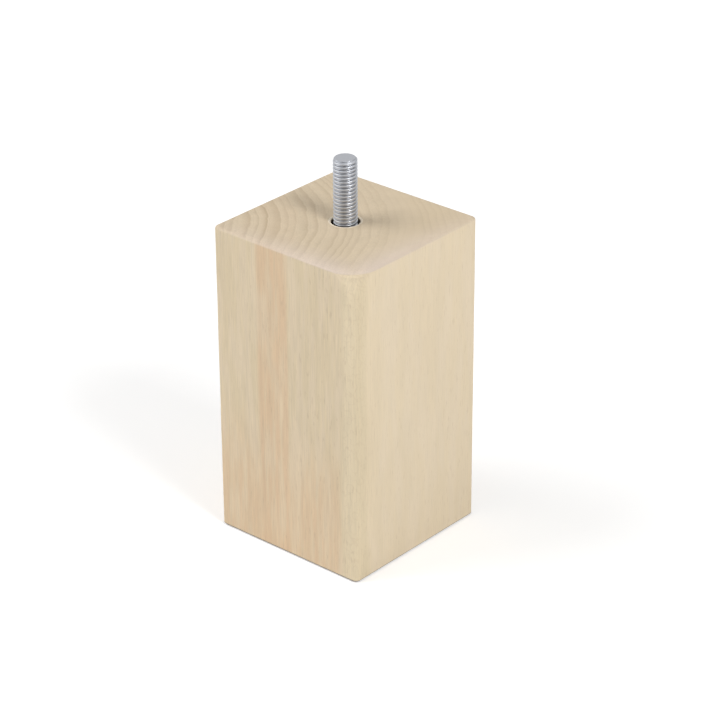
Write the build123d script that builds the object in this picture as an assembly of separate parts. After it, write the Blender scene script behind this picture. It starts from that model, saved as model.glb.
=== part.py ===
from build123d import *
import math
import os

# A square beech bed leg with a hanger bolt in its top end.
# Millimetres, +Z up, origin in the middle of the foot, so the leg stands on Z = 0.

# Beech block
block_side = 60.0
block_height = 110.0
long_edge_radius = 2.0
top_edge_radius = 1.5
foot_chamfer = 0.8

# Stepped hole in the top end: a short wide mouth, then the pilot hole with its drill point
mouth_diameter = 9.5
mouth_depth = 10.0
mouth_chamfer = 0.3
pilot_diameter = 6.2
pilot_spare_depth = 3.0
drill_point_angle = 118.0

# Hanger bolt, M8: machine thread above the block, plain shank in the mouth, wood thread below
thread_diameter = 8.0
thread_pitch = 1.25
stud_height = 22.0
stud_end_chamfer = 0.6
wood_thread_length = 28.0
wood_thread_diameter = 8.0
wood_thread_pitch = 3.6
wood_core_diameter = 5.6
wood_flank_angle = 30.0
wood_point_length = 6.5
wood_point_diameter = 0.8
ridge_root_depth = 0.4
ridge_to_shank = 2.0

# Edges this near a height count as lying on it
same_height = 0.001

# A rolled thread leaves the shank at the thread's pitch diameter. Between crest and pitch
# diameter lie 3/8 of the height of the thread's sharp 60 degree triangle on each side.
sharp_thread_height = thread_pitch * math.cos(math.radians(30.0))
shank_diameter = thread_diameter - 2 * 3 / 8 * sharp_thread_height
top_z = block_height
stud_end_z = top_z + stud_height
shank_end_z = top_z - mouth_depth
bolt_tip_z = shank_end_z - wood_thread_length
point_start_z = bolt_tip_z + wood_point_length


def turned(outline):
    """Solid of revolution about the Z axis, from points of radius and height."""
    return revolve(Plane.XZ * make_face(Polyline(*outline, close=True)), Axis.Z)


def ring_of_edges(solid, z):
    return solid.edges().filter_by_position(Axis.Z, z - same_height, z + same_height)


def make_wood_ridge():
    """Helical ridge of the wood thread. Its root is sunk in the core, and its crest bites the wood."""
    core_radius = wood_core_diameter / 2
    crest_height = wood_thread_diameter / 2 - core_radius
    root_half = (crest_height + ridge_root_depth) * math.tan(math.radians(wood_flank_angle))
    path = Helix(
        pitch=wood_thread_pitch,
        height=shank_end_z - ridge_to_shank - point_start_z,
        radius=core_radius,
        center=(0, 0, point_start_z),
    )
    section = Polyline(
        (-ridge_root_depth, -root_half),
        (crest_height, 0),
        (-ridge_root_depth, root_half),
        close=True,
    )
    section_plane = Plane(origin=path @ 0, x_dir=(1, 0, 0), z_dir=path % 0)
    return sweep(section_plane * make_face(section), path=path, is_frenet=True)


def make_hanger_bolt(ridge):
    """One steel piece: chamfered machine end, shank, threaded core and point."""
    stud_radius = thread_diameter / 2
    shank_radius = shank_diameter / 2
    core_radius = wood_core_diameter / 2
    body = turned([
        (0, bolt_tip_z),
        (wood_point_diameter / 2, bolt_tip_z),
        (core_radius, point_start_z),
        (core_radius, shank_end_z),
        (shank_radius, shank_end_z),
        (shank_radius, top_z),
        (stud_radius, top_z),
        (stud_radius, stud_end_z - stud_end_chamfer),
        (stud_radius - stud_end_chamfer, stud_end_z),
        (0, stud_end_z),
    ])
    return body + ridge


def make_drilled_hole():
    """The air of the stepped hole, from above the top end down to the drill point."""
    mouth_radius = mouth_diameter / 2
    pilot_radius = pilot_diameter / 2
    pilot_end_z = bolt_tip_z - pilot_spare_depth
    drill_point_depth = pilot_radius / math.tan(math.radians(drill_point_angle / 2))
    above_z = top_z + mouth_chamfer
    return turned([
        (0, pilot_end_z - drill_point_depth),
        (pilot_radius, pilot_end_z),
        (pilot_radius, shank_end_z),
        (mouth_radius, shank_end_z),
        (mouth_radius, top_z - mouth_chamfer),
        (mouth_radius + 2 * mouth_chamfer, above_z),
        (0, above_z),
    ])


def make_leg_block(ridge):
    """Planed post with eased edges, drilled, with the groove that the wood thread cuts."""
    blank = Box(block_side, block_side, block_height, align=(Align.CENTER, Align.CENTER, Align.MIN))
    blank = fillet(blank.edges().filter_by(Axis.Z), long_edge_radius)
    blank = fillet(ring_of_edges(blank, top_z), top_edge_radius)
    blank = chamfer(ring_of_edges(blank, 0), foot_chamfer)
    return blank - make_drilled_hole() - ridge


os.makedirs("parts", exist_ok=True)
wood_ridge = make_wood_ridge()
hanger_bolt = make_hanger_bolt(wood_ridge)
leg_block = make_leg_block(wood_ridge)
export_step(leg_block, "parts/leg_block.step")
export_step(hanger_bolt, "parts/hanger_bolt.step")
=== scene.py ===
import bmesh
import bpy
import math
from mathutils import Matrix, Vector, noise


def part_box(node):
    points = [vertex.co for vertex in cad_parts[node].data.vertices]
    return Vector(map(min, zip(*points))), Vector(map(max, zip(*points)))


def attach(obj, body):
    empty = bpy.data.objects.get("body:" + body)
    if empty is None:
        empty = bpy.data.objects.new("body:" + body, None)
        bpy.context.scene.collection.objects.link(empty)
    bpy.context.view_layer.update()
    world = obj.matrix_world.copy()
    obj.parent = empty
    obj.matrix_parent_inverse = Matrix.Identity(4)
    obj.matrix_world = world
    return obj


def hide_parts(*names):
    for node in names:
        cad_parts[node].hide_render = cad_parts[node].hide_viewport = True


# Square beech bed leg with a hanger bolt. Metres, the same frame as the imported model.

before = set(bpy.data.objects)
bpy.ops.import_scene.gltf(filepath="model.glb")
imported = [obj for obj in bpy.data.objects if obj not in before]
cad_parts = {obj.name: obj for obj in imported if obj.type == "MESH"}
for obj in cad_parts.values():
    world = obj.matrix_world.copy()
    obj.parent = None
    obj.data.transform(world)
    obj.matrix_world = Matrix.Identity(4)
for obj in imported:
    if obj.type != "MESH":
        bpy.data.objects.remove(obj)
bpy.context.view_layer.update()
mm = 0.001

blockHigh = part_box("leg_block")[1]
boltLow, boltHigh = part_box("hanger_bolt")
topZ = blockHigh.z
halfSide = blockHigh.x
print("stage: frame loaded")


# Small helpers for node trees and meshes

def addNode(tree, kind, links=None, **settings):
    node = tree.nodes.new(kind)
    for name, value in settings.items():
        setattr(node, name, value)
    for name, value in (links or {}).items():
        connect(tree, value, node.inputs[name])
    return node


def connect(tree, value, socket):
    if isinstance(value, bpy.types.NodeSocket):
        tree.links.new(value, socket)
    else:
        socket.default_value = value


def calc(tree, operation, *values, clamp=False):
    node = tree.nodes.new("ShaderNodeMath")
    node.operation = operation
    node.use_clamp = clamp
    for socket, value in zip(node.inputs, values):
        connect(tree, value, socket)
    return node.outputs[0]


def mixColor(tree, factor, first, second, blend="MIX"):
    # a Mix node's colours are its inputs 6 and 7 and its output 2
    node = addNode(tree, "ShaderNodeMix", {"Factor": factor}, data_type="RGBA", blend_type=blend)
    for index, color in ((6, first), (7, second)):
        connect(tree, (*color, 1) if isinstance(color, tuple) else color, node.inputs[index])
    return node.outputs[2]


def remap(tree, value, fromMin, fromMax, toMin=0.0, toMax=1.0):
    return addNode(tree, "ShaderNodeMapRange", {
        "Value": value, "From Min": fromMin, "From Max": fromMax, "To Min": toMin, "To Max": toMax,
    }, interpolation_type="SMOOTHSTEP").outputs["Result"]


def band(tree, value, start, end, softStart, softEnd):
    # 1 between start and end, and 0 outside
    rise = remap(tree, value, start - softStart, start + softStart)
    fall = remap(tree, value, end - softEnd, end + softEnd, 1.0, 0.0)
    return calc(tree, "MULTIPLY", rise, fall)


def noiseField(tree, vector, scale, detail):
    node = addNode(tree, "ShaderNodeTexNoise", {"Vector": vector, "Scale": scale, "Detail": detail})
    return node.outputs[0]


def stretched(tree, vector, scale, turn=(0.0, 0.0, 0.0)):
    node = addNode(tree, "ShaderNodeMapping", {"Vector": vector, "Scale": scale, "Rotation": turn})
    return node.outputs[0]


def joined(tree, x, y=0.0, z=0.0):
    return addNode(tree, "ShaderNodeCombineXYZ", {"X": x, "Y": y, "Z": z}).outputs[0]


def attribute(tree, name):
    return addNode(tree, "ShaderNodeAttribute", attribute_name=name).outputs["Fac"]


def newMaterial(name):
    material = bpy.data.materials.new(name)
    material.use_nodes = True
    material.node_tree.nodes.clear()
    return material, material.node_tree


def newSurface(tree):
    shader = addNode(tree, "ShaderNodeBsdfPrincipled")
    addNode(tree, "ShaderNodeOutputMaterial", {"Surface": shader.outputs[0]})
    return shader


def makeObject(name, mesh):
    piece = bpy.data.objects.new(name, mesh)
    bpy.context.scene.collection.objects.link(piece)
    return piece


def loftRings(bm, rings):
    # rings of equal length, or single points that close an end
    rows = []
    for ring in rings:
        rows.append([bm.verts.new(point) for point in ring])
    for lower, upper in zip(rows, rows[1:]):
        count = max(len(lower), len(upper))
        for i in range(count):
            j = (i + 1) % count
            below = [lower[i % len(lower)], lower[j % len(lower)]]
            above = [upper[j % len(upper)], upper[i % len(upper)]]
            corners = list(dict.fromkeys(below + above))
            if len(corners) > 2:
                bm.faces.new(corners)
    return rows


def circleRing(radius, z, angles):
    return [Vector((radius * math.cos(angle), radius * math.sin(angle), z)) for angle in angles]


def finishMesh(bm, name, weldDistance, sharpAngle, material):
    bmesh.ops.remove_doubles(bm, verts=bm.verts, dist=weldDistance)
    bmesh.ops.recalc_face_normals(bm, faces=bm.faces)
    openEdges = sum(1 for edge in bm.edges if not edge.is_manifold)
    mesh = bpy.data.meshes.new(name)
    bm.to_mesh(mesh)
    bm.free()
    mesh.shade_smooth()
    mesh.set_sharp_from_angle(angle=math.radians(sharpAngle))
    mesh.materials.clear()
    mesh.materials.append(material)
    print("stage:", name, "made, open edges", openEdges, "faces", len(mesh.polygons))
    return mesh


# Wood: one field of growth rings, rays and fibres that every face is cut from.
# A Field is a noise's scale and detail. A Range turns its first two numbers into its last two, or 0 and 1.

wood = {
    # linear colours; the far ones are the outer wood's, on the right face, and the cream stripe's two
    # colours carry painted light on the left face and painted shade on the right face
    "paleColor": (0.745, 0.620, 0.446),
    "paleFarColor": (0.733, 0.616, 0.450),
    "greenColor": (0.739, 0.613, 0.420),
    "creamWithPaintedLight": (0.774, 0.655, 0.460),
    "creamWithPaintedShade": (0.690, 0.578, 0.395),
    "redColor": (0.745, 0.552, 0.362),
    "lateColor": (0.400, 0.300, 0.190),    # the dark line that ends a ring
    "endColor": (0.598, 0.494, 0.358),
    "endFarColor": (0.592, 0.482, 0.336),
    "rayColor": (0.480, 0.345, 0.215),
    # the next colour is a painted highlight: a pale sheen on the near top edges
    "sandedSheenColor": (0.648, 0.543, 0.464),
    # the next colour is painted shade: near black, down the hole
    "drilledColor": (0.035, 0.022, 0.014),
    "lipColor": (0.800, 0.710, 0.570),
    # the next colour is a painted contact shadow on the foot's chamfer
    "footShadowColor": (0.230, 0.175, 0.125),
    # growth rings
    "pith": (-56.0, -52.0),        # mm, the tree's centre, outside the block
    "innerRing": 3.6,              # mm, ring width where the block is nearest the pith
    "ringsNarrow": 0.016,          # how much narrower each mm further out
    "innerRadius": 34.0,           # mm, the block's nearest corner from the pith
    "leastRing": 0.9,              # mm
    "unevenRings": 1.8,            # how much some rings are wider than others
    "unevenField": (0.14, 1.0),
    "wander": 4.0,                 # mm, how far the rings stray from circles
    "wanderField": (0.022, 1.0),
    "ripple": 1.8,                 # mm, and how far they ripple
    "rippleField": (0.16, 2.0),
    "wanderScale": (1.0, 1.0, 0.15),
    "lateShape": (2.0, 0.80),      # how late in a ring its dark line comes, and where it is darkest
    "finePerRing": 3.0,            # fainter lines in each ring
    "fineShift": 0.35,
    "fineShape": (3.0, 0.85),
    "fineShare": 0.35,
    "strengthField": (0.11, 2.0),
    "strengthRange": (0.32, 0.62, 0.35, 1.0),
    "ringsFadeRange": (52.0, 100.0, 1.0, 0.28),
    "ringsOnEndsRange": (0.0, 1.0, 0.13, 0.95),
    # stripes, in mm from the pith: start, end, and how soft each of them is
    "redStripe": (49.5, 61.5, 1.0, 1.0),
    "creamStripe": (83.4, 90.4, 1.2, 0.5),
    "creamLightToShadeRange": (86.5, 89.5),    # round the long edge, where the cream stripe goes from painted light on the left face to painted shade on the right face
    "warmHeightRange": (55.0, 18.0, 0.0, 0.85),    # mm up the leg; the foot is as warm as the red stripe
    "warmEndRange": (80.5, 83.5, 1.0, 0.0),
    "farRange": (86.0, 93.0),      # the outer wood, on the right face
    "endFarRange": (85.0, 105.0),
    "livelyRange": (86.0, 93.0, 1.0, 0.45),    # the outer wood is more even
    # streaks, rays, figure, fibres and clouds
    "streakScale": (30.0, 0.09),   # round the pith and up the leg
    "streakField": (0.42, 4.0),
    "redStreakRange": (0.35, 0.62, 0.35, 1.0),
    "greenStreakRange": (0.38, 0.60),
    "rayScale": (0.16, 330.0, 0.28),    # out from the pith, round it and up the leg
    "rayField": (1.0, 1.5),
    "rayRange": (0.61, 0.73),
    "figureScale": (0.45, 50.0, 0.30),
    "figureSlant": 25.0,
    "figureField": (1.0, 1.0),
    "figureRange": (0.0, 0.045, 1.0, 0.0),
    "fibreScale": (2.4, 2.4, 0.10),
    "fibreLean": (0.010, -0.014, 0.0),
    "fibreField": (1.0, 3.0),
    "fibreRange": (0.25, 0.75),
    "cloudScale": (0.12, 0.12, 0.03),
    "cloudField": (1.0, 2.0),
    "cloudRange": (0.3, 0.7, 0.98, 1.015),
    # how much of each colour shows, and how much lighter or darker the streaks and fibres are
    "creamShare": 0.9,
    "endShare": 0.85,
    "rayShare": 0.24,
    "figureShare": 0.13,
    "sandedSheenShare": 0.82,
    "lipShare": 0.8,
    "streakLight": -0.12,
    "fibreLight": 0.11,
    "fibreDark": -0.058,
    # surface
    "roughness": 0.60,
    "fibreRough": 0.08,
    "endRough": 0.06,
    "sandedRough": -0.14,
    "specular": 0.35,
    "rayHeight": -0.5,
    "figureHeight": -0.6,
    "bumpStrength": 0.18,
    "bumpDistance": 0.05 * mm,
}


def placeInWood(tree, look):
    # where a point lies in the tree that the block was sawn from, in mm
    place = addNode(tree, "ShaderNodeTexCoord").outputs["Object"]
    scaled = addNode(tree, "ShaderNodeVectorMath", {"Vector": place, "Scale": 1 / mm}, operation="SCALE")
    inMm = scaled.outputs[0]
    axes = addNode(tree, "ShaderNodeSeparateXYZ", {"Vector": inMm})
    dx = calc(tree, "SUBTRACT", axes.outputs[0], look["pith"][0])
    dy = calc(tree, "SUBTRACT", axes.outputs[1], look["pith"][1])
    squares = calc(tree, "ADD", calc(tree, "MULTIPLY", dx, dx), calc(tree, "MULTIPLY", dy, dy))
    radius = calc(tree, "SQRT", squares)
    # the rings ripple and wander a little, and slowly up the leg
    slow = stretched(tree, inMm, look["wanderScale"])
    ripple = calc(tree, "SUBTRACT", noiseField(tree, slow, *look["rippleField"]), 0.5)
    wander = calc(tree, "SUBTRACT", noiseField(tree, slow, *look["wanderField"]), 0.5)
    straight = calc(tree, "MULTIPLY_ADD", ripple, look["ripple"], radius)
    return {
        "inMm": inMm,
        "up": axes.outputs[2],
        "radius": radius,
        "angle": calc(tree, "ARCTAN2", dy, dx),
        "straight": straight,
        "bent": calc(tree, "MULTIPLY_ADD", wander, look["wander"], straight),
    }


def lateLine(tree, count, lateness, peak):
    # each ring darkens slowly towards its peak, then clears
    part = calc(tree, "FRACT", count)
    clears = remap(tree, part, peak, 1.0, 1.0, 0.0)
    return calc(tree, "MULTIPLY", calc(tree, "POWER", part, lateness), clears)


def growthRings(tree, look, spot):
    # rings narrow evenly further out, so the logarithm of their width counts them
    bent = spot["bent"]
    narrow = look["ringsNarrow"]
    width = calc(tree, "SUBTRACT", look["innerRing"] + narrow * look["innerRadius"],
                 calc(tree, "MULTIPLY", bent, narrow))
    width = calc(tree, "MAXIMUM", width, look["leastRing"])
    count = calc(tree, "DIVIDE", calc(tree, "LOGARITHM", width, math.e), -narrow)
    across = joined(tree, bent)
    uneven = noiseField(tree, across, *look["unevenField"])
    count = calc(tree, "MULTIPLY_ADD", uneven, look["unevenRings"], count)
    line = lateLine(tree, count, *look["lateShape"])
    fineCount = calc(tree, "MULTIPLY_ADD", count, look["finePerRing"], look["fineShift"])
    fineLine = calc(tree, "MULTIPLY", lateLine(tree, fineCount, *look["fineShape"]), look["fineShare"])
    strength = remap(tree, noiseField(tree, across, *look["strengthField"]), *look["strengthRange"])
    strength = calc(tree, "MULTIPLY", strength, remap(tree, bent, *look["ringsFadeRange"]))
    return calc(tree, "MULTIPLY", calc(tree, "MAXIMUM", line, fineLine), strength)


def rayMarks(tree, look, spot):
    # thin sheets that run out from the pith, so each face cuts them its own way
    outBy, roundBy, upBy = look["rayScale"]
    place = joined(tree, calc(tree, "MULTIPLY", spot["radius"], outBy),
                   calc(tree, "MULTIPLY", spot["angle"], roundBy),
                   calc(tree, "MULTIPLY", spot["up"], upBy))
    return remap(tree, noiseField(tree, place, *look["rayField"]), *look["rayRange"])


def fishScales(tree, look, spot):
    # the figure where the rays lie nearly flat: fine outlines round scales
    outBy, roundBy, upBy = look["figureScale"]
    slant = calc(tree, "MULTIPLY", spot["angle"], look["figureSlant"])
    place = joined(tree, calc(tree, "MULTIPLY", spot["angle"], roundBy),
                   calc(tree, "MULTIPLY_ADD", spot["up"], upBy, slant),
                   calc(tree, "MULTIPLY", spot["radius"], outBy))
    scales = noiseField(tree, place, *look["figureField"])
    fromOutline = calc(tree, "ABSOLUTE", calc(tree, "SUBTRACT", scales, 0.5))
    return remap(tree, fromOutline, *look["figureRange"])


def beechMaterial(look):
    material, tree = newMaterial("beech")
    shader = newSurface(tree)
    spot = placeInWood(tree, look)
    straight = spot["straight"]
    rings = growthRings(tree, look, spot)
    ray = rayMarks(tree, look, spot)
    roundBy, upBy = look["streakScale"]
    streakPlace = joined(tree, spot["bent"], calc(tree, "MULTIPLY", spot["angle"], roundBy),
                         calc(tree, "MULTIPLY", spot["up"], upBy))
    streaks = noiseField(tree, streakPlace, *look["streakField"])
    fibrePlace = stretched(tree, spot["inMm"], look["fibreScale"], look["fibreLean"])
    fibre = remap(tree, noiseField(tree, fibrePlace, *look["fibreField"]), *look["fibreRange"])
    cloudPlace = stretched(tree, spot["inMm"], look["cloudScale"])
    cloud = remap(tree, noiseField(tree, cloudPlace, *look["cloudField"]), *look["cloudRange"])
    lively = remap(tree, straight, *look["livelyRange"])

    # the reddish stripe and the warm foot; the cream stripe and the figure in it
    warmFoot = calc(tree, "MULTIPLY", remap(tree, spot["up"], *look["warmHeightRange"]),
                    remap(tree, straight, *look["warmEndRange"]))
    red = calc(tree, "MAXIMUM", band(tree, straight, *look["redStripe"]), warmFoot)
    red = calc(tree, "MULTIPLY", red, remap(tree, streaks, *look["redStreakRange"]))
    cream = band(tree, straight, *look["creamStripe"])
    figure = calc(tree, "MULTIPLY", cream, fishScales(tree, look, spot))

    green = calc(tree, "MULTIPLY", lively, remap(tree, streaks, *look["greenStreakRange"]))
    pale = mixColor(tree, remap(tree, straight, *look["farRange"]), look["paleColor"], look["paleFarColor"])
    # the cream stripe is painted lighter on the left face and darker on the right face: painted light and
    # shade across the long edge
    creamLitAndShaded = mixColor(tree, remap(tree, straight, *look["creamLightToShadeRange"]),
                         look["creamWithPaintedLight"], look["creamWithPaintedShade"])
    endBoth = mixColor(tree, remap(tree, straight, *look["endFarRange"]),
                       look["endColor"], look["endFarColor"])
    endGrain = attribute(tree, "endGrain")
    sandedSheen = attribute(tree, "sandedSheen")
    ringShare = calc(tree, "MULTIPLY", rings, remap(tree, endGrain, *look["ringsOnEndsRange"]))
    color = mixColor(tree, green, pale, look["greenColor"])
    for share, pigment in (
        (red, look["redColor"]),
        (calc(tree, "MULTIPLY", cream, look["creamShare"]), creamLitAndShaded),
        (calc(tree, "MULTIPLY", endGrain, look["endShare"]), endBoth),
        (ringShare, look["lateColor"]),
        (calc(tree, "MULTIPLY", ray, look["rayShare"]), look["rayColor"]),
        (calc(tree, "MULTIPLY", figure, look["figureShare"]), look["rayColor"]),
        # the near top edges' pale colour is a painted highlight, a sheen on the rounding; the same mask
        # also makes them smoother
        (calc(tree, "MULTIPLY", sandedSheen, look["sandedSheenShare"]), look["sandedSheenColor"]),
    ):
        color = mixColor(tree, share, color, pigment)

    # streaks, fibres and clouds make it lighter and darker
    light = calc(tree, "MULTIPLY_ADD", fibre, look["fibreLight"], look["fibreDark"])
    light = calc(tree, "MULTIPLY_ADD", calc(tree, "SUBTRACT", streaks, 0.5), look["streakLight"], light)
    grey = calc(tree, "MULTIPLY", calc(tree, "MULTIPLY_ADD", light, lively, 1.0), cloud)
    shade = addNode(tree, "ShaderNodeCombineColor", {"Red": grey, "Green": grey, "Blue": grey}).outputs[0]
    color = mixColor(tree, 1.0, color, shade, "MULTIPLY")
    lipShare = calc(tree, "MULTIPLY", attribute(tree, "lip"), look["lipShare"])
    color = mixColor(tree, lipShare, color, look["lipColor"])
    # painted shade down the hole
    color = mixColor(tree, attribute(tree, "drilled"), color, look["drilledColor"])
    # painted contact shadow along the foot
    color = mixColor(tree, attribute(tree, "footShadow"), color, look["footShadowColor"])
    connect(tree, color, shader.inputs["Base Color"])

    leastRough = look["roughness"] - look["fibreRough"] / 2
    rough = calc(tree, "MULTIPLY_ADD", fibre, look["fibreRough"], leastRough)
    rough = calc(tree, "MULTIPLY_ADD", endGrain, look["endRough"], rough)
    rough = calc(tree, "MULTIPLY_ADD", sandedSheen, look["sandedRough"], rough)
    connect(tree, rough, shader.inputs["Roughness"])
    connect(tree, look["specular"], shader.inputs["Specular IOR Level"])
    height = calc(tree, "MULTIPLY_ADD", ray, look["rayHeight"], fibre)
    height = calc(tree, "MULTIPLY_ADD", figure, look["figureHeight"], height)
    bump = addNode(tree, "ShaderNodeBump", {
        "Height": height, "Strength": look["bumpStrength"], "Distance": look["bumpDistance"],
    })
    connect(tree, bump.outputs[0], shader.inputs["Normal"])
    return material


# Zinc-plated steel, darker towards the thread's roots

steel = {
    "crestColor": (0.585, 0.606, 0.650),
    "rootColor": (0.460, 0.475, 0.510),
    "cloudField": (900.0, 3.0),    # scale and detail
    "grainField": (5200.0, 2.0),
    "cloudShare": 0.5,             # how much of the shine is patchy
    "rootDarkShare": 0.25,             # how far up from the root it stays darker
    "roughness": 0.33,
    "cloudRough": 0.16,
    "bumpStrength": 0.12,
    "bumpDistance": 0.02 * mm,
}


def zincMaterial(look, rootRadius, crestRadius):
    material, tree = newMaterial("zincSteel")
    shader = newSurface(tree)
    place = addNode(tree, "ShaderNodeTexCoord").outputs["Object"]
    axes = addNode(tree, "ShaderNodeSeparateXYZ", {"Vector": place})
    squares = calc(tree, "ADD", calc(tree, "MULTIPLY", axes.outputs[0], axes.outputs[0]),
                   calc(tree, "MULTIPLY", axes.outputs[1], axes.outputs[1]))
    crest = remap(tree, calc(tree, "SQRT", squares), rootRadius, crestRadius)
    cloud = noiseField(tree, place, *look["cloudField"])
    grain = noiseField(tree, place, *look["grainField"])
    shine = calc(tree, "MULTIPLY_ADD", cloud, look["cloudShare"],
                 calc(tree, "SUBTRACT", crest, look["rootDarkShare"]), clamp=True)
    connect(tree, mixColor(tree, shine, look["rootColor"], look["crestColor"]), shader.inputs["Base Color"])
    connect(tree, 1.0, shader.inputs["Metallic"])
    leastRough = look["roughness"] - look["cloudRough"] / 2
    rough = calc(tree, "MULTIPLY_ADD", cloud, look["cloudRough"], leastRough)
    connect(tree, rough, shader.inputs["Roughness"])
    bump = addNode(tree, "ShaderNodeBump", {
        "Height": grain, "Strength": look["bumpStrength"], "Distance": look["bumpDistance"],
    })
    connect(tree, bump.outputs[0], shader.inputs["Normal"])
    return material


# Beech block, lofted from rounded squares, in through the drilled hole

block = {
    "longEdgeRadius": 1.6 * mm,
    "topEdgeRadius": 1.2 * mm,
    "footChamfer": 0.6 * mm,
    "cornerWorn": 2.8 * mm,        # how much rounder the near long edge is sanded at its top
    "tipWorn": 5.5 * mm,           # and rounder again in the last few mm under its tip
    "tipHeight": 9.0 * mm,
    "rimWornIn": 2.8 * mm,         # how far the sanding reaches in over the top, most at the near corner
    "rimWornDown": 0.1 * mm,       # and down the sides
    "wearCurve": 0.7,              # under 1, the wear grows early and then levels off
    "handSanding": 0.15 * mm,      # how much the long edges' rounding wavers
    "sandingWave": 14.0 * mm,      # how far apart its wavers are
    "sandingShift": 7.3,           # keeps the four edges' wavers apart
    "sandingRow": 0.4,
    "mouthRadius": 4.75 * mm,
    "mouthChamfer": 0.3 * mm,
    "mouthDepth": 10.0 * mm,
    "pilotRadius": 3.1 * mm,
    "pilotSpareDepth": 3.0 * mm,
    "drillPointAngle": 118.0,
    "paleLip": 0.45 * mm,          # how far round the mouth the top is painted paler
    "lipFade": 0.15 * mm,
    "chamferRing": (0.09 * mm, 0.1 * mm),    # a ring on the mouth's chamfer: out from the mouth, and down
    "shadowAbove": 0.2 * mm,       # how far above the chamfer the foot's painted shadow line fades out
    "rimRubbedSheen": 11.0 * mm,        # how far in from the near edges the top is rubbed smoother and painted with a pale sheen, a painted highlight
    "rubbedSheenCurve": 1.3,
    "rubbedSheenLeast": 0.22,           # how strong the rubbing and the painted sheen are at the near edges' far ends, against 1 at their corner
    "rubbedSheenTurn": 2.5,             # how soon it ends where the rim turns down
    "rubbedSheenDepthShare": 0.99,      # of the rim's drop
    "darkAfter": 0.8 * mm,         # down the hole, after which the painted shade in the hole is full
    "endGrainCurve": 1.5,          # end grain shows as a face turns up, fully a little before it is flat
    "endGrainGain": 1.15,
    "footRings": (0.3, 0.65, 0.99),
    "sidesEndShare": 1.5,          # the sides' rings stop this many top edge radii below the top
    "mouthRings": (0.9 * mm, 1.8 * mm, 4.0 * mm, 7.0 * mm),
    "cornerSteps": 12,
    "sideSteps": 16,
    "sideRings": 60,
    "rimSteps": 12,
    "topSteps": 14,
    "grooveSteps": 14,             # to a turn
    "weldDistance": 0.0001 * mm,
    "sharpAngle": 34.0,
}

shankEndZ = topZ - block["mouthDepth"]
touching = 0.01 * mm    # a point this near a ring counts as on it


def nearShare(point):
    # 1 at the near long edge, 0 on the far half of the block
    return min(max((point.x - point.y) / (2 * halfSide), 0.0), 1.0)


def squareRing(z, inset=0.0, dropped=0.0):
    # a rounded square, inset along its own normals; the near corner and the top rim are worn rounder
    corners = ((1, 1), (-1, 1), (-1, -1), (1, -1))
    radii = []
    for index, corner in enumerate(corners):
        place = Vector((index * block["sandingShift"], z / block["sandingWave"], block["sandingRow"]))
        radius = block["longEdgeRadius"] + block["handSanding"] * noise.noise(place)
        if corner == (1, -1):
            climb = min(z / topZ, 1.0)
            tip = max(0.0, 1 + (z - topZ) / block["tipHeight"])
            radius += block["cornerWorn"] * climb ** block["wearCurve"] + block["tipWorn"] * tip ** 2
        radii.append(radius)
    steps = block["cornerSteps"]
    outline = []
    for index, (sx, sy) in enumerate(corners):
        radius = radii[index]
        middle = Vector((sx * (halfSide - radius), sy * (halfSide - radius), z))
        for step in range(steps + 1):
            turn = math.pi / 2 * (index + step / steps)
            normal = Vector((math.cos(turn), math.sin(turn), 0))
            outline.append((middle + radius * normal, normal))
        start = outline[-1][0]
        nextX, nextY = corners[(index + 1) % 4]
        nextRadius = radii[(index + 1) % 4]
        nextMiddle = Vector((nextX * (halfSide - nextRadius), nextY * (halfSide - nextRadius), z))
        end = nextMiddle + nextRadius * normal
        for step in range(1, block["sideSteps"]):
            outline.append((start.lerp(end, step / block["sideSteps"]), normal))
    points = []
    for point, normal in outline:
        wear = nearShare(point) ** block["wearCurve"]
        inwards = inset * (block["topEdgeRadius"] + block["rimWornIn"] * wear)
        down = dropped * (block["topEdgeRadius"] + block["rimWornDown"] * wear)
        points.append(point - normal * inwards - Vector((0, 0, down)))
    return points


def grooveRing(z, angles):
    # the pilot hole's wall, with the groove that the bolt's wood thread cuts, from the bolt's own values
    slope = math.tan(math.radians(bolt["woodFlankAngle"]))
    points = []
    for angle in angles:
        reach = block["pilotRadius"]
        turns = (z - pointStartZ) / bolt["woodPitch"] - angle / (2 * math.pi)
        away = abs(turns - round(turns)) * bolt["woodPitch"]
        if pointStartZ < z < shankEndZ - bolt["ridgeToShank"]:
            reach = max(reach, bolt["woodCrestRadius"] - away / slope)
        points.append(Vector((reach * math.cos(angle), reach * math.sin(angle), z)))
    return points


def outerRings():
    # from the middle of the foot up the sides and round the rim; the last two foot rings carry a painted
    # contact shadow
    chamfer = block["footChamfer"]
    innerShare = 1 - chamfer / halfSide
    innerFoot = [Vector((p.x * innerShare, p.y * innerShare, 0.0)) for p in squareRing(0.0)]
    rings = [[Vector((0, 0, 0))]]
    for share in block["footRings"]:
        rings.append([Vector((p.x * share, p.y * share, 0.0)) for p in innerFoot])
    rings.append(innerFoot)
    rings.append(squareRing(chamfer))
    shadowRings = rings[-2:]
    lowest = chamfer + block["shadowAbove"]
    highest = topZ - block["sidesEndShare"] * block["topEdgeRadius"]
    for step in range(block["sideRings"]):
        rings.append(squareRing(lowest + (highest - lowest) * step / (block["sideRings"] - 1)))
    for step in range(block["rimSteps"] + 1):
        turn = math.pi / 2 * step / block["rimSteps"]
        rings.append(squareRing(topZ, inset=1 - math.cos(turn), dropped=1 - math.sin(turn)))
    return rings, shadowRings


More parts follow.
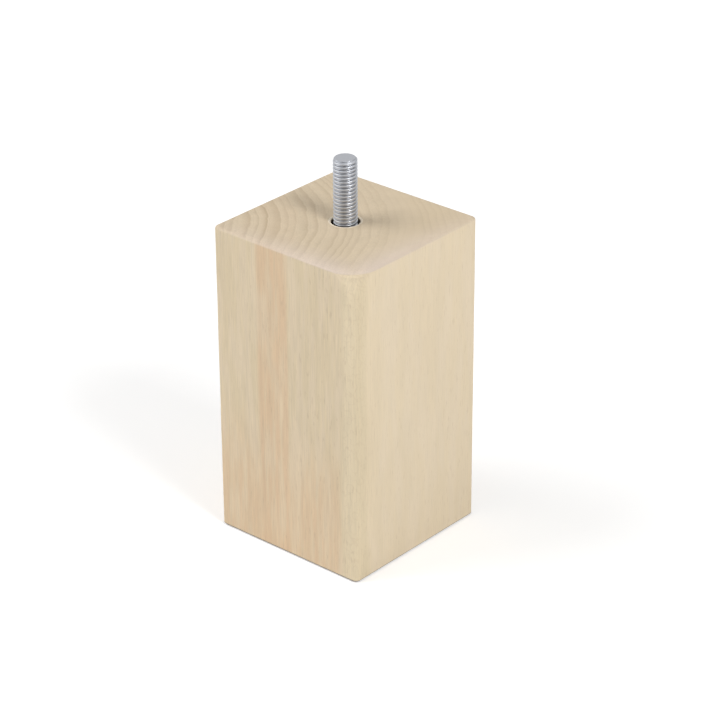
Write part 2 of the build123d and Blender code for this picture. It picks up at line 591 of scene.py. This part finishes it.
def holeRings(outer, angles):
    # from the rim in over the top, down the mouth and the grooved pilot hole to the drill point
    mouth = block["mouthRadius"]
    lip = mouth + block["mouthChamfer"]
    pilot = block["pilotRadius"]
    lipRing = circleRing(lip, topZ, angles)
    rings = []
    for step in range(1, block["topSteps"]):
        rings.append([a.lerp(b, step / block["topSteps"]) for a, b in zip(outer, lipRing)])
    rings.append(circleRing(lip + block["paleLip"] + block["lipFade"], topZ, angles))
    rings.append(circleRing(lip + block["paleLip"], topZ, angles))
    rings.append(lipRing)
    outBy, downBy = block["chamferRing"]
    rings.append(circleRing(mouth + outBy, topZ - downBy, angles))
    for depth in (block["mouthChamfer"], *block["mouthRings"], block["mouthDepth"]):
        rings.append(circleRing(mouth, topZ - depth, angles))
    rings.append(circleRing(pilot, shankEndZ, angles))
    grooveStep = bolt["woodPitch"] / block["grooveSteps"]
    z = shankEndZ - grooveStep
    while z > pointStartZ - grooveStep:
        rings.append(grooveRing(z, angles))
        z -= grooveStep
    pilotEndZ = boltLow.z - block["pilotSpareDepth"]
    rings.append(circleRing(pilot, pilotEndZ, angles))
    pointDepth = pilot / math.tan(math.radians(block["drillPointAngle"] / 2))
    rings.append([Vector((0, 0, pilotEndZ - pointDepth))])
    return rings


def makeBlock(material):
    outside, shadowRings = outerRings()
    angles = [math.atan2(p.y, p.x) % (2 * math.pi) for p in outside[-1]]
    rings = outside + holeRings(outside[-1], angles)
    bm = bmesh.new()
    footShadow = bm.verts.layers.float.new("footShadow")
    for ring, row in zip(rings, loftRings(bm, rings)):
        for vertex in row:
            vertex[footShadow] = 1.0 if ring in shadowRings else 0.0
    mesh = finishMesh(bm, "legBlock", block["weldDistance"], block["sharpAngle"], material)
    paintBlock(mesh)
    return makeObject("legBlock", mesh)


def paintBlock(mesh):
    # where a point shows end grain, a rubbed rim with a painted sheen, painted shade down the hole, or the
    # paler ring round the hole's mouth
    painted = {"endGrain": [], "sandedSheen": [], "drilled": [], "lip": []}
    rimDepth = block["rubbedSheenDepthShare"] * (block["topEdgeRadius"] + block["rimWornDown"])
    lipReach = block["mouthRadius"] + block["mouthChamfer"] + block["paleLip"]
    for vertex in mesh.vertices:
        place = vertex.co
        reach = math.hypot(place.x, place.y)
        depth = topZ - place.z
        up = abs(vertex.normal.z)
        inHole = reach < block["mouthRadius"] + touching
        onTop = not inHole and place.z > topZ / 2
        painted["endGrain"].append(min(1.0, up ** block["endGrainCurve"] * block["endGrainGain"]))
        # the near top edges are rubbed smoother and painted with a pale sheen, a painted highlight, most at
        # the near corner
        fromEdge = min(halfSide - place.x, halfSide + place.y) / block["rimRubbedSheen"]
        rubbedSheen = max(0.0, 1.0 - fromEdge) ** block["rubbedSheenCurve"]
        rubbedSheen *= min(1.0, block["rubbedSheenLeast"] + nearShare(place)) * min(1.0, block["rubbedSheenTurn"] * up)
        painted["sandedSheen"].append(rubbedSheen if onTop and depth < rimDepth else 0.0)
        painted["lip"].append(1.0 if onTop and reach < lipReach + touching else 0.0)
        # painted shade on the hole's wall, growing below the mouth
        painted["drilled"].append(min(max(depth / block["darkAfter"], 0.0), 1.0) if inHole else 0.0)
    for name, values in painted.items():
        mesh.attributes.new(name, "FLOAT", "POINT").data.foreach_set("value", values)


# Hanger bolt: Geometry Nodes roll a grid into each threaded end, a rod whose radius follows a helix

bolt = {
    "crestRadius": 3.95 * mm,      # a rolled and plated M8 thread stays a little under 8 mm
    "pitch": 1.25 * mm,
    "crestShare": 0.30,            # of the pitch
    "flankShare": 0.31,
    "threadDepthShare": 0.44,
    "roundedShare": 0.8,           # how far the flanks are rounded into crest and root
    "threadBelow": 6.0 * mm,       # how far the turns go on inside the hole
    "shankShare": 0.6495,          # of the pitch; a rolled thread's shank has its pitch diameter
    "endChamfer": 0.6 * mm,
    "endSlope": 1.0,
    "runOut": 1.6 * mm,
    "woodCrestRadius": 4.0 * mm,
    "woodCoreRadius": 2.8 * mm,
    "woodPitch": 3.6 * mm,
    "woodFlankAngle": 30.0,
    "woodRunOut": 3.0 * mm,
    "woodPointLength": 6.5 * mm,
    "woodPointRadius": 0.4 * mm,
    "ridgeToShank": 2.0 * mm,
    "columns": 84,
    "machineRows": 520,
    "woodRows": 240,
    "shankRings": 5,
    "rollWeld": 0.0005 * mm,       # closes the seam of each rolled end
    "weldDistance": 0.002 * mm,    # joins both ends to the shank
    "sharpAngle": 38.0,
}

pointStartZ = boltLow.z + bolt["woodPointLength"]


def makeThreadTree():
    tree = bpy.data.node_groups.new("rolledThread", "GeometryNodeTree")
    face = tree.interface
    face.new_socket("Geometry", in_out="OUTPUT", socket_type="NodeSocketGeometry")
    for name in ("JoinZ", "FreeZ", "JoinRadius", "JoinFade", "FreeRadius", "FreeSlope", "StartZ", "Pitch",
                 "RootRadius", "CrestRadius", "CrestShare", "FlankShare", "RoundedShare", "WeldDistance"):
        face.new_socket(name, in_out="INPUT", socket_type="NodeSocketFloat")
    for name in ("Rows", "Columns"):
        face.new_socket(name, in_out="INPUT", socket_type="NodeSocketInt")
    face.new_socket("Material", in_out="INPUT", socket_type="NodeSocketMaterial")
    given = tree.nodes.new("NodeGroupInput").outputs
    out = tree.nodes.new("NodeGroupOutput")

    grid = addNode(tree, "GeometryNodeMeshGrid", {
        "Size X": 1.0, "Size Y": 1.0,
        "Vertices X": calc(tree, "ADD", given["Columns"], 1.0),
        "Vertices Y": given["Rows"],
    })
    onGrid = tree.nodes.new("GeometryNodeInputPosition").outputs[0]
    place = addNode(tree, "ShaderNodeSeparateXYZ", {"Vector": onGrid})
    turn = calc(tree, "ADD", place.outputs[0], 0.5)
    climb = calc(tree, "ADD", place.outputs[1], 0.5)
    # the last row closes the free end, so the climb ends one row before it
    lastRow = calc(tree, "SUBTRACT", given["Rows"], 1.0)
    row = calc(tree, "MULTIPLY", climb, lastRow)
    climbed = calc(tree, "DIVIDE", row, calc(tree, "SUBTRACT", lastRow, 1.0), clamp=True)
    beforeLast = calc(tree, "LESS_THAN", row, calc(tree, "SUBTRACT", lastRow, 0.5))
    length = calc(tree, "SUBTRACT", given["FreeZ"], given["JoinZ"])
    z = calc(tree, "MULTIPLY_ADD", length, climbed, given["JoinZ"])

    # how far this point is from the crest's helix, in turns
    rise = calc(tree, "DIVIDE", calc(tree, "SUBTRACT", z, given["StartZ"]), given["Pitch"])
    away = calc(tree, "SUBTRACT", rise, turn)
    away = calc(tree, "ABSOLUTE", calc(tree, "SUBTRACT", away, calc(tree, "ROUND", away)))
    reach = calc(tree, "MULTIPLY_ADD", given["CrestShare"], 0.5, given["FlankShare"])
    wave = calc(tree, "DIVIDE", calc(tree, "SUBTRACT", reach, away), given["FlankShare"], clamp=True)
    rounding = calc(tree, "SUBTRACT", remap(tree, wave, 0.0, 1.0), wave)
    rolled = calc(tree, "MULTIPLY_ADD", rounding, given["RoundedShare"], wave)
    depth = calc(tree, "SUBTRACT", given["CrestRadius"], given["RootRadius"])
    radius = calc(tree, "MULTIPLY_ADD", depth, rolled, given["RootRadius"])

    # run out into the shank at one end, cut by a cone at the free end
    fromJoin = calc(tree, "ABSOLUTE", calc(tree, "SUBTRACT", z, given["JoinZ"]))
    fade = calc(tree, "DIVIDE", fromJoin, given["JoinFade"], clamp=True)
    proud = calc(tree, "SUBTRACT", radius, given["JoinRadius"])
    radius = calc(tree, "MULTIPLY_ADD", proud, fade, given["JoinRadius"])
    fromFree = calc(tree, "ABSOLUTE", calc(tree, "SUBTRACT", given["FreeZ"], z))
    cone = calc(tree, "MULTIPLY_ADD", fromFree, given["FreeSlope"], given["FreeRadius"])
    radius = calc(tree, "MULTIPLY", calc(tree, "MINIMUM", radius, cone), beforeLast)
    angle = calc(tree, "MULTIPLY", turn, 2 * math.pi)
    position = joined(tree, calc(tree, "MULTIPLY", radius, calc(tree, "COSINE", angle)),
                      calc(tree, "MULTIPLY", radius, calc(tree, "SINE", angle)), z)
    rod = addNode(tree, "GeometryNodeSetPosition", {"Geometry": grid.outputs[0], "Position": position})
    weld = addNode(tree, "GeometryNodeMergeByDistance", {
        "Geometry": rod.outputs[0], "Distance": given["WeldDistance"],
    })
    real = addNode(tree, "GeometryNodeRealizeInstances", {"Geometry": weld.outputs[0]})
    paint = addNode(tree, "GeometryNodeSetMaterial", {
        "Geometry": real.outputs[0], "Material": given["Material"],
    })
    tree.links.new(paint.outputs[0], out.inputs[0])
    return tree


def rollThread(tree, values):
    holder = makeObject("threadBlank", bpy.data.meshes.new("threadBlank"))
    modifier = holder.modifiers.new("rolledThread", "NODES")
    modifier.node_group = tree
    for item in tree.interface.items_tree:
        if item.in_out == "INPUT":
            modifier[item.identifier] = values[item.name]
    holder.update_tag()
    depsgraph = bpy.context.evaluated_depsgraph_get()
    mesh = bpy.data.meshes.new_from_object(holder.evaluated_get(depsgraph))
    holder.modifiers.clear()
    bpy.data.objects.remove(holder)
    return mesh


def makeBolt(material):
    tree = makeThreadTree()
    pitch = bolt["pitch"]
    crest = bolt["crestRadius"]
    core = bolt["woodCoreRadius"]
    shank = crest - bolt["shankShare"] * pitch / 2
    runOutZ = topZ - bolt["threadBelow"]
    shared = {
        "RoundedShare": bolt["roundedShare"], "WeldDistance": bolt["rollWeld"],
        "Columns": bolt["columns"], "Material": material,
    }
    machineEnd = {
        "JoinZ": runOutZ, "FreeZ": boltHigh.z, "JoinRadius": shank, "JoinFade": bolt["runOut"],
        "FreeRadius": crest - bolt["endChamfer"], "FreeSlope": bolt["endSlope"], "StartZ": topZ,
        "Pitch": pitch, "RootRadius": crest - bolt["threadDepthShare"] * pitch, "CrestRadius": crest,
        "CrestShare": bolt["crestShare"], "FlankShare": bolt["flankShare"],
        "Rows": bolt["machineRows"],
    }
    woodDepth = bolt["woodCrestRadius"] - core
    flank = woodDepth * math.tan(math.radians(bolt["woodFlankAngle"])) / bolt["woodPitch"]
    pointSlope = (core - bolt["woodPointRadius"]) / bolt["woodPointLength"]
    woodEnd = {
        "JoinZ": shankEndZ, "FreeZ": boltLow.z, "JoinRadius": core, "JoinFade": bolt["woodRunOut"],
        "FreeRadius": bolt["woodPointRadius"], "FreeSlope": pointSlope, "StartZ": pointStartZ,
        "Pitch": bolt["woodPitch"], "RootRadius": core, "CrestRadius": bolt["woodCrestRadius"],
        "CrestShare": 0.0, "FlankShare": flank, "Rows": bolt["woodRows"],
    }
    bm = bmesh.new()
    for values in (machineEnd, woodEnd):
        part = rollThread(tree, {**shared, **values})
        bm.from_mesh(part)
        bpy.data.meshes.remove(part)
    angles = [2 * math.pi / bolt["columns"] * i for i in range(bolt["columns"])]
    shankRings = [circleRing(core, shankEndZ, angles)]
    for step in range(bolt["shankRings"]):
        z = shankEndZ + (runOutZ - shankEndZ) * step / (bolt["shankRings"] - 1)
        shankRings.append(circleRing(shank, z, angles))
    loftRings(bm, shankRings)
    mesh = finishMesh(bm, "hangerBolt", bolt["weldDistance"], bolt["sharpAngle"], material)
    return makeObject("hangerBolt", mesh)


beech = beechMaterial(wood)
threadRootRadius = bolt["crestRadius"] - bolt["threadDepthShare"] * bolt["pitch"]
zinc = zincMaterial(steel, threadRootRadius, bolt["crestRadius"])
legBlock = makeBlock(beech)
hangerBolt = makeBolt(zinc)

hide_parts("leg_block")
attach(legBlock, "root")
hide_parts("hanger_bolt")
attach(hangerBolt, "root")


# Floor, world, lamps and camera

white = (1.0, 1.0, 1.0, 1.0)

studio = {
    "floorSize": 3.0,
    "floorColor": (0.86, 0.86, 0.86, 1.0),
    "floorGlow": 0.28,             # camera rays only, so the pale floor reads as white
    "floorGlowFar": 1.0,           # and stays white where the lamps fall off
    "glowTurnsAt": 0.25,           # m from the leg, where the glow starts to grow
    "glowFullAt": 0.8,
    "worldStrength": 0.42,
    "roomLevel": 0.92,             # how bright polished metal sees the room
    "roomParts": (
        # azimuth, half width in degrees, how bright against the rest of the room
        (26.0, 54.6, 0.174),       # the dark side, behind the camera
        (150.0, 42.0, 0.35),       # a dimmer part, behind the leg on its right
        (-38.0, 46.0, 3.3),        # a brighter part on the left
    ),
    "partCore": 0.97,              # cosine of the angle within which a part has its full level
    "lampTarget": 0.7,             # of the block's height
    "lamps": (
        # name, azimuth, elevation, distance, size, power, whether metal shows it
        ("keyRight", 82.0, 40.0, 1.1, 0.44, 6.15, True),
        ("fillLeft", -50.0, 46.0, 1.1, 0.80, 6.05, False),
    ),
}


def towards(azimuth, elevation):
    a = math.radians(azimuth)
    e = math.radians(elevation)
    return Vector((math.sin(a) * math.cos(e), -math.cos(a) * math.cos(e), math.sin(e)))


def mixShaders(tree, factor, first, second):
    node = tree.nodes.new("ShaderNodeMixShader")
    for socket, value in zip(node.inputs, (factor, first, second)):
        connect(tree, value, socket)
    return node.outputs[0]


def showOnly(tree, plain, seen):
    # seen is what the camera and clear rays meet; plain is what lights the object
    path = addNode(tree, "ShaderNodeLightPath").outputs
    either = calc(tree, "MAXIMUM", path["Is Camera Ray"], path["Is Transmission Ray"])
    return mixShaders(tree, either, plain, seen)


def makeFloor():
    half = studio["floorSize"] / 2
    mesh = bpy.data.meshes.new("floor")
    corners = [(-half, -half, 0), (half, -half, 0), (half, half, 0), (-half, half, 0)]
    mesh.from_pydata(corners, [], [range(4)])
    material, tree = newMaterial("paleFloor")
    paper = addNode(tree, "ShaderNodeBsdfDiffuse", {"Color": studio["floorColor"]}).outputs[0]
    place = addNode(tree, "ShaderNodeTexCoord").outputs["Object"]
    away = addNode(tree, "ShaderNodeVectorMath", {"Vector": place}, operation="LENGTH").outputs["Value"]
    strength = remap(tree, away, studio["glowTurnsAt"], studio["glowFullAt"],
                     studio["floorGlow"], studio["floorGlowFar"])
    glow = addNode(tree, "ShaderNodeEmission", {"Strength": strength}).outputs[0]
    both = addNode(tree, "ShaderNodeAddShader")
    tree.links.new(paper, both.inputs[0])
    tree.links.new(glow, both.inputs[1])
    addNode(tree, "ShaderNodeOutputMaterial", {"Surface": showOnly(tree, paper, both.outputs[0])})
    mesh.materials.append(material)
    floor = makeObject("floor", mesh)


def makeWorld():
    world = bpy.data.worlds.new("studio")
    world.use_nodes = True
    tree = world.node_tree
    tree.nodes.clear()
    sky = addNode(tree, "ShaderNodeBackground", {"Color": white, "Strength": studio["worldStrength"]})
    backdrop = addNode(tree, "ShaderNodeBackground", {"Color": white})
    # polished metal sees a room with a dark, a dim and a bright part
    direction = addNode(tree, "ShaderNodeTexCoord").outputs["Generated"]
    axes = addNode(tree, "ShaderNodeSeparateXYZ", {"Vector": direction})
    level = studio["roomLevel"]
    for azimuth, halfWidth, partLevel in studio["roomParts"]:
        middle = towards(azimuth, 0.0)
        facing = calc(tree, "MULTIPLY_ADD", axes.outputs[0], middle.x,
                      calc(tree, "MULTIPLY", axes.outputs[1], middle.y))
        part = remap(tree, facing, math.cos(math.radians(halfWidth)), studio["partCore"], 1.0, partLevel)
        level = calc(tree, "MULTIPLY", part, level)
    room = addNode(tree, "ShaderNodeBackground", {"Color": white, "Strength": level})
    glossyRay = addNode(tree, "ShaderNodeLightPath").outputs["Is Glossy Ray"]
    around = mixShaders(tree, glossyRay, sky.outputs[0], room.outputs[0])
    addNode(tree, "ShaderNodeOutputWorld", {"Surface": showOnly(tree, around, backdrop.outputs[0])})
    bpy.context.scene.world = world


def makeLamps():
    target = Vector((0, 0, topZ * studio["lampTarget"]))
    for name, azimuth, elevation, distance, size, power, shown in studio["lamps"]:
        data = bpy.data.lights.new(name, "AREA")
        data.shape = "DISK"
        data.size = size
        data.energy = power
        lamp = bpy.data.objects.new(name, data)
        lamp.visible_glossy = shown
        lamp.location = target + towards(azimuth, elevation) * distance
        lamp.rotation_euler = towards(azimuth, elevation).to_track_quat("Z", "Y").to_euler()
        bpy.context.scene.collection.objects.link(lamp)


view = {
    "imageWidth": 724,
    "focalPixels": 2813.5,
    "sensorWidth": 36.0,           # mm
    "clipStart": 0.05,
    "azimuth": 41.124,
    "elevation": 27.069,
    "roll": -0.316,
    "distance": 15.421,            # in block sides, from the block's middle
    "slideRight": 0.0834,
    "slideUp": 0.0787,
}


def makeCamera():
    back = towards(view["azimuth"], view["elevation"])
    right = Vector((math.cos(math.radians(view["azimuth"])), math.sin(math.radians(view["azimuth"])), 0))
    up = back.cross(right)
    inSides = back * view["distance"] + right * view["slideRight"] + up * view["slideUp"]
    place = Vector((0, 0, topZ / 2)) + inSides * 2 * halfSide
    roll = math.radians(view["roll"])
    rolledRight = right * math.cos(roll) + up * math.sin(roll)
    rolledUp = up * math.cos(roll) - right * math.sin(roll)
    data = bpy.data.cameras.new("camera")
    data.sensor_width = view["sensorWidth"]
    data.lens = view["focalPixels"] / view["imageWidth"] * view["sensorWidth"]
    data.clip_start = view["clipStart"]
    camera = bpy.data.objects.new("camera", data)
    turned = Matrix((rolledRight, rolledUp, back)).transposed()
    camera.matrix_world = Matrix.Translation(place) @ turned.to_4x4()
    bpy.context.scene.collection.objects.link(camera)
    bpy.context.scene.camera = camera


makeFloor()
makeWorld()
makeLamps()
makeCamera()
bpy.context.scene.view_settings.view_transform = "Standard"
print("stage: studio ready")
